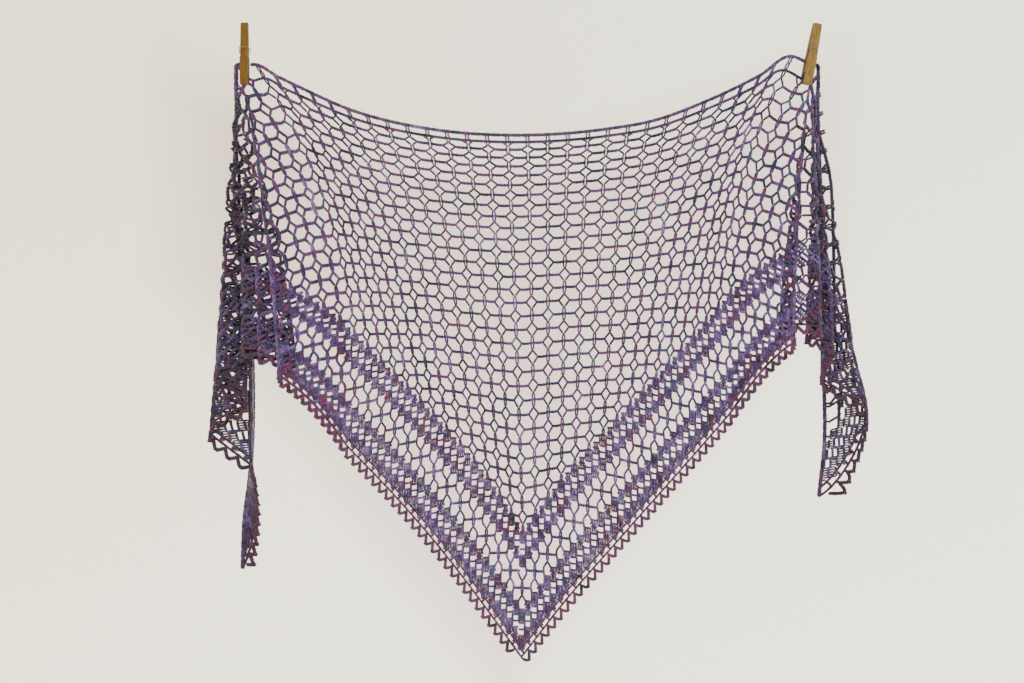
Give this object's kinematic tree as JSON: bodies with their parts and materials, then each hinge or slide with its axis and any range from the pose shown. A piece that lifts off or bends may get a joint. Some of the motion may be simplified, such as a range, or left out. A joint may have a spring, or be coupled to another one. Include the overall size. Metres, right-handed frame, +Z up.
{
  "type": "lace shawl hung from two clothes pegs",
  "caption": "Triangular crocheted lace shawl, hung by its long edge from two wooden spring pegs, with a picot hem and folded side falls.",
  "frame": {"origin": "the point between the two pegs' jaws, level with the middle of their jaws, where the pegs would grip a line", "axes": "+X along the line towards the viewer's right, +Y away from the viewer, +Z up; the cloth faces -Y"},
  "size_m": [0.7698, 0.0857, 0.7482],
  "materials": {
    "violet_crochet": "matte yarn",
    "navy_plum_crochet": "matte yarn",
    "plum_picots": "matte yarn",
    "peg_wood": "bare",
    "peg_wire": "drawn"
  },
  "bodies": {
    "root": {"field_front": "violet_crochet", "border_front": "navy_plum_crochet", "edging_front": "plum_picots", "fall_left": "violet_crochet", "fall_right": "violet_crochet", "bunch_left": "violet_crochet", "bunch_right": "violet_crochet", "edge_cord_front": "violet_crochet", "edge_cord_left": "violet_crochet", "edge_cord_right": "violet_crochet", "peg_left_front_leg": "peg_wood", "peg_left_back_leg": "peg_wood", "peg_left_spring": "peg_wire", "peg_right_front_leg": "peg_wood", "peg_right_back_leg": "peg_wood", "peg_right_spring": "peg_wire"}
  },
  "joints": []
}
